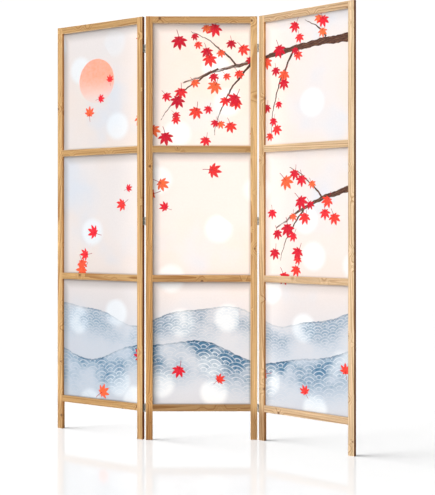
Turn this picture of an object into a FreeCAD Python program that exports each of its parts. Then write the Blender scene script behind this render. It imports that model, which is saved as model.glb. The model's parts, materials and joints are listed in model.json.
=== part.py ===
import FreeCAD, Part
import os
import re
import Sketcher

# Folding room screen: three pine panels with printed sheets, joined by narrow butt hinges.
# Lengths are in millimetres and folds in degrees.
# A panel is drawn in its own frame: X from its left edge, Y from its front face back, Z up from the floor.
# A hinge is drawn in its own frame: Z along its pin, fixed leaf on the -X side, leaves reaching along +Y.
sizes = {
    # frame of one panel
    "panel_width": "450",
    "panel_height": "1710",
    "leg_height": "115",
    "stile_width": "27",
    "rail_height": "27",
    "frame_thickness": "15",
    "outer_edge_round": "2",
    "inner_edge_round": "1",
    # stub tenons and their mortises
    "tenon_thickness": "5",
    "tenon_shoulder": "4",
    "tenon_end_wall": "2",
    "mortise_clearance": "0.15",
    # rebate in the back of the frame, with the sheet and its beads
    "rebate_width": "6",
    "rebate_depth": "4.4",
    "sheet_thickness": "0.6",
    "sheet_margin": "1",
    "seat_clearance": "0.1",
    "bead_clearance": "0.15",
    "bead_bevel": "0.8",
    # nails that hold the beads
    "nail_radius": "0.5",
    "nail_length": "11",
    "nail_point_length": "1.5",
    "nail_head_radius": "0.9",
    "nail_head_height": "0.5",
    "nail_clearance": "0.05",
    # hinges
    "hinge_length": "32",
    "hinge_end_inset": "128",
    "middle_hinge_height": "883",
    "leaf_width": "12.5",
    "leaf_thickness": "1.2",
    "knuckle_radius": "2.7",
    "knuckle_clearance": "0.3",
    "knuckle_gap": "0.3",
    "hinge_pin_offset": "1",
    "hinge_pin_radius": "1.2",
    "hinge_pin_clearance": "0.05",
    "hinge_pin_head_radius": "2",
    "hinge_pin_head_height": "0.8",
    # hinge screws
    "screw_spacing": "16",
    "screw_inset": "4.5",
    "screw_radius": "1.1",
    "screw_length": "11",
    "screw_point_length": "3",
    "screw_head_radius": "2.2",
    "screw_slot_width": "0.6",
    "screw_slot_depth": "0.5",
    "screw_clearance": "0.05",
    # how far each outer panel is folded out of the flat line
    "left_fold_angle": "32",
    "right_fold_angle": "40",
    # how far a cut runs past the face that it starts from
    "cut_overrun": "1",
}

# names of the repeated pieces, from the floor up
panels = ["left", "centre", "right"]
sides = ["left", "right"]
rails = ["bottom", "lower", "upper", "top"]
panes = ["bottom", "middle", "top"]
hinge_levels = ["bottom", "middle", "top"]
knuckle_count = 5

# places of the bead nails, as shares of the opening's height or width
side_nail_shares = [0.15, 0.5, 0.85]
bottom_nail_shares = [0.2, 0.6]
top_nail_shares = [0.4, 0.8]

# seams, named for their outer panel: the edges that carry the leaves, and where the pins stand
seams = {
    "left": {"swing_side": "right", "fixed_side": "left", "pins_behind": True},
    "right": {"swing_side": "left", "fixed_side": "right", "pins_behind": False},
}

doc = FreeCAD.newDocument("folding_screen")
size_table = doc.addObject("Spreadsheet::Sheet", "Sizes")
for row, (alias, number) in enumerate(sizes.items(), start=1):
    size_table.set(f"A{row}", alias)
    size_table.set(f"B{row}", number)
    size_table.setAlias(f"B{row}", alias)
doc.recompute()

up = FreeCAD.Vector(0, 0, 1)
nodes = []


def bound(formula):
    # a formula in size names, written as an expression on the table of sizes
    return re.sub(r"[a-z_]+", lambda word: f"Sizes.{word[0]}" if word[0] in sizes else word[0], formula)


def value(formula):
    return float(size_table.evalExpression(bound(formula)))


# sizes that follow from the driving ones
pane_height = f"((panel_height - leg_height - {len(rails)} * rail_height) / {len(panes)})"
pane_width = "(panel_width - 2 * stile_width)"
lip_depth = "(frame_thickness - rebate_depth)"
tenon_front = f"(({lip_depth} - tenon_thickness) / 2)"
tenon_reach = "(screw_length + tenon_end_wall)"
bead_front = f"({lip_depth} + sheet_thickness + 2 * seat_clearance)"
bead_depth = f"(frame_thickness - {bead_front})"
bead_width = "(rebate_width - bead_clearance)"
nail_depth = f"(({bead_front} + frame_thickness) / 2)"
nail_hole_radius = "(nail_radius + nail_clearance)"
nail_hole_depth = f"(nail_length - {bead_width} + bead_clearance)"
half_gap = "(knuckle_radius + knuckle_clearance)"
knuckle_pitch = f"(hinge_length / {knuckle_count})"
screw_reach = "(leaf_width - screw_inset)"
screw_hole_radius = "(screw_radius + screw_clearance)"
hinge_heights = {
    "bottom": "hinge_end_inset",
    "middle": "middle_hinge_height",
    "top": "(panel_height - hinge_end_inset)",
}


def across(side, distance):
    # place along X at a distance in from the panel's left or right edge
    return f"({distance})" if side == "left" else f"(panel_width - ({distance}))"


def rail_bottom(level):
    return f"(leg_height + {level} * (rail_height + {pane_height}))"


def pane_bottom(level):
    return f"({rail_bottom(level)} + rail_height)"


def pane_top(level):
    return f"({pane_bottom(level)} + {pane_height})"


def screw_heights(level):
    return [f"({hinge_heights[level]} {sign} screw_spacing / 2)" for sign in "-+"]


# drawing helpers
def new_body(label):
    body = doc.addObject("PartDesign::Body", label)
    body.Label = label
    return body


def new_sketch(body, role, offset="0"):
    # a sketch on one of the body's own planes, moved along the plane's normal
    sketch = body.newObject("Sketcher::SketchObject", "Sketch")
    plane = next(feature for feature in body.Origin.OriginFeatures if feature.Role == role)
    sketch.AttachmentSupport = [(plane, "")]
    sketch.MapMode = "FlatFace"
    sketch.setExpression("AttachmentOffset.Base.z", bound(offset))
    return sketch


def fix_point(sketch, geometry, point, place):
    # ties a point of the sketch to its place from the sketch's origin
    for kind, formula in zip(("DistanceX", "DistanceY"), place):
        distance = Sketcher.Constraint(kind, -1, 1, geometry, point, value(formula))
        sketch.setExpression(f"Constraints[{sketch.addConstraint(distance)}]", bound(formula))


def polygon(sketch, places):
    corners = [FreeCAD.Vector(value(x), value(y), 0) for x, y in places]
    first = sketch.GeometryCount
    count = len(corners)
    for index in range(count):
        sketch.addGeometry(Part.LineSegment(corners[index], corners[(index + 1) % count]))
    for index in range(count):
        following = first + (index + 1) % count
        sketch.addConstraint(Sketcher.Constraint("Coincident", first + index, 2, following, 1))
    for index, place in enumerate(places):
        fix_point(sketch, first + index, 1, place)


def rectangle(sketch, left, bottom, right, top):
    polygon(sketch, [(left, bottom), (right, bottom), (right, top), (left, top)])


def circle(sketch, x, y, radius):
    centre = FreeCAD.Vector(value(x), value(y), 0)
    index = sketch.addGeometry(Part.Circle(centre, up, value(radius)))
    size = Sketcher.Constraint("Radius", index, value(radius))
    sketch.setExpression(f"Constraints[{sketch.addConstraint(size)}]", bound(radius))
    fix_point(sketch, index, 3, (x, y))


def pad(body, sketch, length, reverse=False):
    feature = body.newObject("PartDesign::Pad", "Pad")
    feature.Profile = sketch
    feature.Reversed = reverse
    feature.setExpression("Length", bound(length))
    doc.recompute()


def cut(body, kind, sketch, reverse):
    # starts a cut along the sketch's normal if reversed, else against it
    feature = body.newObject(kind, "Cut")
    feature.Profile = sketch
    feature.Reversed = reverse
    return feature


def check_cut(body, volume_before):
    doc.recompute()
    if body.Shape.Volume >= volume_before:
        raise RuntimeError(f"{body.Label}: a cut removed nothing")


def pocket(body, sketch, depth, reverse=False):
    volume = body.Shape.Volume
    feature = cut(body, "PartDesign::Pocket", sketch, reverse)
    feature.setExpression("Length", bound(depth))
    check_cut(body, volume)


def revolve(body, places):
    # turns a half section, drawn as radius and height, round the body's Z axis
    section = new_sketch(body, "XZ_Plane")
    polygon(section, places)
    feature = body.newObject("PartDesign::Revolution", "Revolution")
    feature.Profile = section
    feature.ReferenceAxis = (section, ["V_Axis"])
    doc.recompute()


def edges_on(shape, places):
    # names of the straight edges whose ends both lie at each place: a dictionary of axis and formula
    names = []
    for place in places:
        wanted = {axis: value(formula) for axis, formula in place.items()}
        for index, edge in enumerate(shape.Edges, start=1):
            ends = [vertex.Point for vertex in edge.Vertexes]
            if all(abs(getattr(end, axis) - goal) < Part.Precision.confusion()
                   for end in ends for axis, goal in wanted.items()):
                names.append(f"Edge{index}")
    return names


def dress(body, kind, places, property_name, size):
    # rounds or bevels the edges of the body's last feature that lie at the given places
    base = body.Tip
    names = edges_on(base.Shape, places)
    feature = body.newObject(kind, "Dress")
    feature.Base = (base, names)
    feature.setExpression(property_name, bound(size))
    doc.recompute()


def place_node(node, label, placement):
    node.Label = label
    node.Placement = placement
    nodes.append(node)


def shift(x, y, z, rotation=FreeCAD.Rotation()):
    return FreeCAD.Placement(FreeCAD.Vector(value(x), value(y), value(z)), rotation)


def turned_about(x, y, degrees):
    # a turn about an upright line, seen from above
    return shift(x, y, "0", FreeCAD.Rotation(up, degrees)) * shift(f"-({x})", f"-({y})", "0")


# where the panels stand: the outer ones turn about their pins, and the whole is centred over the floor
def panel_frames():
    behind = "frame_thickness + hinge_pin_offset"
    before = "-hinge_pin_offset"
    step = f"panel_width + 2 * {half_gap}"
    left_turn = turned_about(f"-{half_gap}", behind, -value("left_fold_angle"))
    right_turn = turned_about(f"panel_width + {half_gap}", before, -value("right_fold_angle"))
    frames = {
        "left": left_turn * shift(f"-({step})", "0", "0"),
        "centre": FreeCAD.Placement(),
        "right": right_turn * shift(step, "0", "0"),
    }
    corners = [FreeCAD.Vector(value(x), value(y), 0)
               for x in ("0", "panel_width") for y in ("0", "frame_thickness")]
    outline = FreeCAD.BoundBox()
    for frame in frames.values():
        for corner in corners:
            outline.add(frame.multVec(corner))
    centred = FreeCAD.Placement(FreeCAD.Vector(-outline.Center.x, -outline.Center.y, 0), FreeCAD.Rotation())
    return {panel: centred * frame for panel, frame in frames.items()}


frames = panel_frames()


def hinge_frame(seam, side, level):
    # the hinge's frame in the frame of the panel whose left or right edge carries it
    edge = across(side, f"-{half_gap}")
    if seams[seam]["pins_behind"]:
        half_turn = FreeCAD.Rotation(up, 180)
        return shift(edge, "frame_thickness + hinge_pin_offset", hinge_heights[level], half_turn)
    return shift(edge, "-hinge_pin_offset", hinge_heights[level])


def hinged_edges(panel):
    # the seams that a panel carries leaves of, each with the stile that they are screwed to
    if panel == "centre":
        return [(seam, seams[seam]["fixed_side"]) for seam in seams]
    return [(panel, seams[panel]["swing_side"])]


# frame members
def make_stile(panel, side):
    body = new_body(f"{panel}_{side}_stile")
    section = new_sketch(body, "XY_Plane")
    rectangle(section, across(side, "0"), "0", across(side, "stile_width"), "frame_thickness")
    pad(body, section, "panel_height")
    outer_edges = [{"x": across(side, "0"), "y": depth} for depth in ("0", "frame_thickness")]
    dress(body, "PartDesign::Fillet", outer_edges, "Radius", "outer_edge_round")
    inner_edge = {"x": across(side, "stile_width"), "y": "0"}
    dress(body, "PartDesign::Fillet", [inner_edge], "Radius", "inner_edge_round")

    rebates = new_sketch(body, "XZ_Plane", "-frame_thickness")
    mortises = new_sketch(body, "YZ_Plane", across(side, "stile_width"))
    nail_holes = new_sketch(body, "YZ_Plane", across(side, "stile_width - rebate_width"))
    for level in range(len(panes)):
        rectangle(rebates, across(side, "stile_width - rebate_width"), f"{pane_bottom(level)} - rebate_width",
                  across(side, "stile_width + cut_overrun"), f"{pane_top(level)} + rebate_width")
        for share in side_nail_shares:
            circle(nail_holes, nail_depth, f"{pane_bottom(level)} + {share} * {pane_height}", nail_hole_radius)
    for level in range(len(rails)):
        rectangle(mortises, f"{tenon_front} - mortise_clearance",
                  f"{rail_bottom(level)} + tenon_shoulder - mortise_clearance",
                  f"{tenon_front} + tenon_thickness + mortise_clearance",
                  f"{rail_bottom(level)} + rail_height - tenon_shoulder + mortise_clearance")
    away_from_origin = side == "right"
    pocket(body, rebates, "rebate_depth", True)
    pocket(body, mortises, f"stile_width - {tenon_reach} + mortise_clearance", away_from_origin)
    pocket(body, nail_holes, nail_hole_depth, away_from_origin)
    for seam, hinged_side in hinged_edges(panel):
        if hinged_side == side:
            bore_screw_holes(body, seam, side)
    place_node(body, body.Label, frames[panel])


def bore_screw_holes(body, seam, side):
    depth = f"{screw_reach} - hinge_pin_offset"
    if seams[seam]["pins_behind"]:
        depth = f"frame_thickness - ({depth})"
    holes = new_sketch(body, "YZ_Plane", across(side, "0"))
    for level in hinge_levels:
        for height in screw_heights(level):
            circle(holes, depth, height, screw_hole_radius)
    pocket(body, holes, "screw_length - leaf_thickness + screw_clearance", side == "left")


def make_rail(panel, level):
    body = new_body(f"{panel}_{rails[level]}_rail")
    bottom = rail_bottom(level)
    top = f"({bottom} + rail_height)"
    left = across("left", "stile_width")
    right = across("right", "stile_width")
    face = new_sketch(body, "XZ_Plane")
    rectangle(face, left, bottom, right, top)
    pad(body, face, "frame_thickness", True)
    front_edges = [{"y": "0", "z": height} for height in (bottom, top)]
    dress(body, "PartDesign::Fillet", front_edges, "Radius", "inner_edge_round")
    tenons = new_sketch(body, "XZ_Plane", f"-{tenon_front}")
    rectangle(tenons, across("left", tenon_reach), f"{bottom} + tenon_shoulder",
              across("right", tenon_reach), f"{top} - tenon_shoulder")
    pad(body, tenons, "tenon_thickness", True)

    # each opening that the rail borders gives it a rebate and a row of nail holes
    if level < len(panes):
        wall = f"{top} - rebate_width"
        cut_rail_rebate(body, wall, f"{top} + cut_overrun", bottom_nail_shares, wall, False)
    if level > 0:
        wall = f"{bottom} + rebate_width"
        cut_rail_rebate(body, f"{bottom} - cut_overrun", wall, top_nail_shares, wall, True)
    place_node(body, body.Label, frames[panel])


def cut_rail_rebate(body, low, high, nail_shares, wall, upwards):
    rebate = new_sketch(body, "XZ_Plane", "-frame_thickness")
    rectangle(rebate, across("left", "stile_width"), low, across("right", "stile_width"), high)
    pocket(body, rebate, "rebate_depth", True)
    nail_holes = new_sketch(body, "XY_Plane", wall)
    for share in nail_shares:
        circle(nail_holes, f"stile_width + {share} * {pane_width}", nail_depth, nail_hole_radius)
    pocket(body, nail_holes, nail_hole_depth, upwards)


# sheets and the beads that hold them
def make_sheet(panel, level):
    box = doc.addObject("Part::Box", "Sheet")
    reach = "(rebate_width - sheet_margin)"
    box.setExpression("Length", bound(f"{pane_width} + 2 * {reach}"))
    box.setExpression("Width", bound("sheet_thickness"))
    box.setExpression("Height", bound(f"{pane_height} + 2 * {reach}"))
    corner = shift(f"stile_width - {reach}", f"{lip_depth} + seat_clearance", f"{pane_bottom(level)} - {reach}")
    place_node(box, f"{panel}_{panes[level]}_sheet", frames[panel] * corner)


def make_beads(panel, level):
    body = new_body(f"{panel}_{panes[level]}_beads")
    bottom = pane_bottom(level)
    top = pane_top(level)
    inner = {side: across(side, "stile_width") for side in sides}
    outer = {side: across(side, f"stile_width - {bead_width}") for side in sides}
    strips = new_sketch(body, "XZ_Plane", f"-{bead_front}")
    for side in sides:
        rectangle(strips, outer[side], f"{bottom} + bead_clearance", inner[side], f"{top} - bead_clearance")
    rectangle(strips, outer["left"], f"{bottom} - {bead_width}", outer["right"], bottom)
    rectangle(strips, outer["left"], top, outer["right"], f"{top} + {bead_width}")
    pad(body, strips, bead_depth, True)
    bevelled = [{"x": inner[side], "y": "frame_thickness"} for side in sides]
    bevelled += [{"z": height, "y": "frame_thickness"} for height in (bottom, top)]
    dress(body, "PartDesign::Chamfer", bevelled, "Size", "bead_bevel")

    side_holes = new_sketch(body, "YZ_Plane", outer["left"])
    for share in side_nail_shares:
        circle(side_holes, nail_depth, f"{bottom} + {share} * {pane_height}", nail_hole_radius)
    pocket(body, side_holes, f"{pane_width} + 2 * {bead_width}", True)
    for shares, height, upwards in ((bottom_nail_shares, bottom, False), (top_nail_shares, top, True)):
        holes = new_sketch(body, "XY_Plane", height)
        for share in shares:
            circle(holes, f"stile_width + {share} * {pane_width}", nail_depth, nail_hole_radius)
        pocket(body, holes, bead_width, upwards)
    place_node(body, body.Label, frames[panel])


# fasteners: one of each is drawn with its head at the top, and copies of it make the groups
def draw_nail():
    body = new_body("bead_nail")
    revolve(body, [
        ("0", "-nail_length"),
        ("nail_radius", "nail_point_length - nail_length"),
        ("nail_radius", "0"),
        ("nail_head_radius", "0"),
        ("nail_head_radius", "nail_head_height"),
        ("0", "nail_head_height"),
    ])
    return body


def draw_screw():
    body = new_body("hinge_screw")
    revolve(body, [
        ("0", "-screw_length"),
        ("screw_radius", "screw_point_length - screw_length"),
        ("screw_radius", "-leaf_thickness"),
        ("screw_head_radius", "0"),
        ("0", "0"),
    ])
    slot = new_sketch(body, "XY_Plane")
    rectangle(slot, "-screw_head_radius", "-screw_slot_width / 2", "screw_head_radius", "screw_slot_width / 2")
    pocket(body, slot, "screw_slot_depth")
    return body


def make_group(label, piece, places, panel):
    group = doc.addObject("Part::Feature", "Group")
    copies = []
    for place in places:
        copy = piece.Shape.copy()
        copy.Placement = place
        copies.append(copy)
    group.Shape = Part.makeCompound(copies)
    place_node(group, label, frames[panel])


# turns that point a fastener, drawn pointing down, along the panel's X axis or upwards
pointing_left = FreeCAD.Rotation(FreeCAD.Vector(0, 1, 0), 90)
pointing_right = FreeCAD.Rotation(FreeCAD.Vector(0, 1, 0), -90)
pointing_up = FreeCAD.Rotation(FreeCAD.Vector(1, 0, 0), 180)
pointing_outwards = {"left": pointing_left, "right": pointing_right}


def nail_places():
    places = []
    for level in range(len(panes)):
        bottom = pane_bottom(level)
        for share in side_nail_shares:
            for side in sides:
                height = f"{bottom} + {share} * {pane_height}"
                places.append(shift(across(side, "stile_width"), nail_depth, height, pointing_outwards[side]))
        for share in bottom_nail_shares:
            places.append(shift(f"stile_width + {share} * {pane_width}", nail_depth, bottom))
        for share in top_nail_shares:
            x = f"stile_width + {share} * {pane_width}"
            places.append(shift(x, nail_depth, pane_top(level), pointing_up))
    return places


def screw_places(panel):
    # from the inner face of each leaf into the stile behind it
    places = []
    fixed = panel == "centre"
    sign = "-" if fixed else ""
    turn = pointing_left if fixed else pointing_right
    for seam, side in hinged_edges(panel):
        for level in hinge_levels:
            for half in ("-screw_spacing / 2", "screw_spacing / 2"):
                head = shift(f"{sign}({half_gap} - leaf_thickness)", screw_reach, half, turn)
                places.append(hinge_frame(seam, side, level) * head)
    return places


# hinges
def knuckle_low(index):
    return f"(({index} - {knuckle_count} / 2) * {knuckle_pitch})"


def make_leaf(seam, level, fixed):
    kind = "fixed" if fixed else "swing"
    sign = "-" if fixed else ""
    body = new_body(f"{seam}_{level}_hinge_{kind}_leaf")
    own = [index for index in range(knuckle_count) if (index % 2 == 0) == fixed]
    others = [index for index in range(knuckle_count) if index not in own]

    # the plate lies on the panel's edge, and is notched where the other leaf's knuckles turn
    plate = new_sketch(body, "YZ_Plane", f"{sign}{half_gap}")
    rectangle(plate, "0", "-hinge_length / 2", "leaf_width", "hinge_length / 2")
    pad(body, plate, "leaf_thickness", not fixed)
    notches = new_sketch(body, "YZ_Plane", f"{sign}({half_gap} + cut_overrun)")
    for index in others:
        rectangle(notches, "-cut_overrun", f"{knuckle_low(index)} - knuckle_gap / 2",
                  half_gap, f"{knuckle_low(index + 1)} + knuckle_gap / 2")
    pocket(body, notches, "leaf_thickness + 2 * cut_overrun", fixed)
    for index in own:
        knuckle = new_sketch(body, "XY_Plane", f"{knuckle_low(index)} + knuckle_gap / 2")
        circle(knuckle, "0", "0", "knuckle_radius")
        pad(body, knuckle, f"{knuckle_pitch} - knuckle_gap")
    bore = new_sketch(body, "XY_Plane", "hinge_length / 2")
    circle(bore, "0", "0", "hinge_pin_radius + hinge_pin_clearance")
    pocket(body, bore, "hinge_length")
    sink_screw_holes(body, sign, not fixed)
    side = seams[seam]["fixed_side" if fixed else "swing_side"]
    panel = "centre" if fixed else seam
    place_node(body, body.Label, frames[panel] * hinge_frame(seam, side, level))


def sink_screw_holes(body, sign, reverse):
    # the cone of each hole reaches through the whole leaf, as the screw's head does
    centres = new_sketch(body, "YZ_Plane", f"{sign}({half_gap} - leaf_thickness)")
    for half in ("-screw_spacing / 2", "screw_spacing / 2"):
        circle(centres, screw_reach, half, screw_hole_radius)
    doc.recompute()
    volume = body.Shape.Volume
    holes = cut(body, "PartDesign::Hole", centres, reverse)
    holes.DepthType = "ThroughAll"
    holes.HoleCutType = "Countersink"
    holes.HoleCutCustomValues = True
    holes.setExpression("Diameter", bound(f"2 * {screw_hole_radius}"))
    holes.setExpression("HoleCutDiameter", bound("2 * (screw_head_radius + screw_clearance)"))
    cone = "2 * atan((screw_head_radius - screw_radius) / leaf_thickness)"
    holes.setExpression("HoleCutCountersinkAngle", bound(cone))
    check_cut(body, volume)


def make_pin(seam, level):
    body = new_body(f"{seam}_{level}_hinge_pin")
    end = "hinge_length / 2"
    tip = f"{end} + hinge_pin_head_height"
    revolve(body, [
        ("0", f"-({tip})"),
        ("hinge_pin_radius", f"-({tip})"),
        ("hinge_pin_head_radius", f"-({end})"),
        ("hinge_pin_radius", f"-({end})"),
        ("hinge_pin_radius", end),
        ("hinge_pin_head_radius", end),
        ("hinge_pin_radius", tip),
        ("0", tip),
    ])
    place_node(body, body.Label, frames["centre"] * hinge_frame(seam, seams[seam]["fixed_side"], level))


nail = draw_nail()
screw = draw_screw()
for panel in panels:
    for side in sides:
        make_stile(panel, side)
    for level in range(len(rails)):
        make_rail(panel, level)
    for level in range(len(panes)):
        make_sheet(panel, level)
        make_beads(panel, level)
    make_group(f"{panel}_bead_nails", nail, nail_places(), panel)
    make_group(f"{panel}_hinge_screws", screw, screw_places(panel), panel)
for seam in seams:
    for level in hinge_levels:
        make_leaf(seam, level, True)
        make_leaf(seam, level, False)
        make_pin(seam, level)
doc.recompute()

# nothing is written unless every piece is whole
for item in doc.Objects:
    if "Invalid" in item.State or "Error" in item.State:
        raise RuntimeError(f"{item.Label} failed: {item.State}")
for node in nodes:
    if node.Shape.isNull() or not node.Shape.isValid():
        raise RuntimeError(f"{node.Label} is not a valid shape")

os.makedirs("parts", exist_ok=True)
for node in nodes:
    node.Shape.exportStep(f"parts/{node.Label}.step")
print(f"{len(nodes)} pieces written")
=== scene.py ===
import json
import math
from functools import partial, partialmethod, reduce

import bpy
import numpy as np
from mathutils import Matrix, Vector


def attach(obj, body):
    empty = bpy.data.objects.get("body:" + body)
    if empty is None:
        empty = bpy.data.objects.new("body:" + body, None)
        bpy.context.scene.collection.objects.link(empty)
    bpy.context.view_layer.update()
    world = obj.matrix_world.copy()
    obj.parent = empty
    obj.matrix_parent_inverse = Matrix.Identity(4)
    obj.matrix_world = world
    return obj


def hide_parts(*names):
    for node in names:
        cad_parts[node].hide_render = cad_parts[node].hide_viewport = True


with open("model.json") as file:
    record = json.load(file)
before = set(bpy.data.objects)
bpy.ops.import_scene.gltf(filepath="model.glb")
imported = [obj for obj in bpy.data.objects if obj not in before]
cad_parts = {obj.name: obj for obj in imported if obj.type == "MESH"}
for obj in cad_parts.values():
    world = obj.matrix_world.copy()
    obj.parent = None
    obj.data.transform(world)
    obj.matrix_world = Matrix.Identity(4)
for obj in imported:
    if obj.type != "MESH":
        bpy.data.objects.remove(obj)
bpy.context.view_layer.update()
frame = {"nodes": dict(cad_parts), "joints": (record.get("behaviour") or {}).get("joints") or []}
nodes = frame["nodes"]
scene = bpy.context.scene

panels = ("left", "centre", "right")
rows = ("bottom", "middle", "top")
rails = ("bottom", "lower", "upper", "top")


def srgb(*levels):  # a colour given as screen levels, 0 to 255, in linear light by the sRGB curve
    share = np.array(levels) / 255
    linear = np.where(share <= 0.04045, share / 12.92, ((share + 0.055) / 1.055) ** 2.4)
    return (*(float(v) for v in linear), 1.0)


def nodePoints(name):  # a node's vertices, one row each
    mesh = nodes[name].data
    points = np.empty(len(mesh.vertices) * 3, np.float32)
    mesh.vertices.foreach_get("co", points)
    return points.reshape(-1, 3).astype(float)


# The screen stands folded, and each outer panel is turned by its joint's way back to flat
foldAngles = {joint["child"]: math.radians(-joint["range_deg"][0]) for joint in frame["joints"]}


def panelFrame(panel):
    # axes: across the panel, from front to back, up; corner: its lower left front corner in them
    turn = foldAngles.get(panel + "_panel", 0.0)
    sine, cosine = math.sin(turn), math.cos(turn)
    axes = np.array([[cosine, -sine, 0], [sine, cosine, 0], [0, 0, 1]])
    points = nodePoints(panel + "_left_stile") @ axes.T
    corner = points.min(0)
    return {"turn": turn, "axes": axes, "corner": corner, "stile": points.max(0)[0] - corner[0]}


panelFrames = {panel: panelFrame(panel) for panel in panels}


def localBox(panel, node):  # a node's lowest and highest corner in its panel's axes
    place = panelFrames[panel]
    local = nodePoints(node) @ place["axes"].T - place["corner"]
    return local.min(0), local.max(0)


# Small helpers for shader trees

class ShaderTree:
    def __init__(self, tree):
        self.tree = tree

    def feed(self, sockets, values):  # links what another node puts out, and sets plain values
        for key, value in values.items():
            if isinstance(value, bpy.types.NodeSocket):
                self.tree.links.new(value, sockets[key])
            else:
                sockets[key].default_value = value

    def add(self, kind, values=None, **settings):
        node = self.tree.nodes.new("ShaderNode" + kind)
        for name, setting in settings.items():
            setattr(node, name, setting)
        self.feed(node.inputs, values or {})
        return node

    def place(self, group, values):
        return self.add("Group", values, node_tree=group).outputs

    def calc(self, operation, *values):
        return self.add("Math", dict(enumerate(values)), operation=operation).outputs[0]

    def fold(self, operation, *values):  # over any number of values
        return reduce(partial(self.calc, operation), values)

    times = partialmethod(fold, "MULTIPLY")
    plus = partialmethod(fold, "ADD")
    largest = partialmethod(fold, "MAXIMUM")
    minus = partialmethod(calc, "SUBTRACT")
    over = partialmethod(calc, "DIVIDE")
    unsigned = partialmethod(calc, "ABSOLUTE")

    def between(self, share, least, most):  # goes evenly from least to most as the share goes from 0 to 1
        return self.calc("MULTIPLY_ADD", share, most - least, least)

    def swing(self, noise, size):  # a noise turned into a factor about 1
        return self.between(noise, 1 - size, 1 + size)

    def ramp(self, value, start, end, low=0.0, high=1.0):  # a smooth step from start to end
        values = dict(enumerate((value, start, end, low, high)))
        return self.add("MapRange", values, interpolation_type="SMOOTHSTEP").outputs[0]

    def clamp(self, value):
        return self.add("Clamp", {0: value}).outputs[0]

    def mix(self, factor, under, over):  # of two numbers
        return self.add("Mix", {0: factor, 2: under, 3: over}).outputs[0]

    def blend(self, factor, under, over, kind="MIX"):  # of two colours
        values = {0: factor, 6: under, 7: over}
        return self.add("Mix", values, data_type="RGBA", blend_type=kind).outputs[2]

    def shaded(self, colour, shade):
        return self.blend(1.0, colour, self.join(shade, shade, shade), "MULTIPLY")

    def vector(self, operation, *values):
        node = self.add("VectorMath", dict(enumerate(values)), operation=operation)
        return node.outputs["Value" if operation in ("LENGTH", "DOT_PRODUCT", "DISTANCE") else "Vector"]

    def split(self, vector):
        return self.add("SeparateXYZ", {0: vector}).outputs

    def join(self, x, y, z):
        return self.add("CombineXYZ", {0: x, 1: y, 2: z}).outputs[0]

    def noise(self, vector, turns, detail, rough=0.5):  # turns are counted in a metre
        values = {"Vector": vector, "Scale": turns, "Detail": detail, "Roughness": rough}
        return self.add("TexNoise", values).outputs[0]

    def stretched(self, vector, turns, detail):  # a noise with other turns along X, Y and Z
        return self.noise(self.vector("MULTIPLY", vector, turns), 1.0, detail)


def newGroup(name, inputs, outputs):
    # an input's first value tells its kind: one number, a vector of three or a colour of four
    tree = bpy.data.node_groups.new(name, "ShaderNodeTree")
    kinds = {1: "NodeSocketFloat", 3: "NodeSocketVector", 4: "NodeSocketColor"}
    for label, value in inputs.items():
        socket = tree.interface.new_socket(label, in_out="INPUT", socket_type=kinds[np.size(value)])
        socket.default_value = value
    for label in outputs:
        kind = "NodeSocketColor" if label == "Color" else "NodeSocketFloat"
        tree.interface.new_socket(label, in_out="OUTPUT", socket_type=kind)
    start = tree.nodes.new("NodeGroupInput")
    end = tree.nodes.new("NodeGroupOutput")
    return ShaderTree(tree), start.outputs, end.inputs


def newMaterial(name):
    material = bpy.data.materials.new(name)
    material.use_nodes = True
    shader = next(n for n in material.node_tree.nodes if n.type == "BSDF_PRINCIPLED")
    return material, ShaderTree(material.node_tree), shader.inputs


def finishSurface(t, shader, finish, colour, roughness, height):
    # the finish gives the strength and depth of its relief, and the values that are the same all over
    strength, depth = finish["relief"]
    bump = t.add("Bump", {"Strength": strength, "Distance": depth, "Height": height}).outputs[0]
    t.feed(shader, {"Base Color": colour, "Roughness": roughness, "Normal": bump, **finish["even"]})


def newObject(name, data):
    made = bpy.data.objects.new(name, data)
    scene.collection.objects.link(made)
    return made


def dress(name, material):  # gives a carried over node its finish
    slots = nodes[name].data.materials
    slots.clear()
    slots.append(material)


# Pine: the stiles, rails and beads

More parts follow.
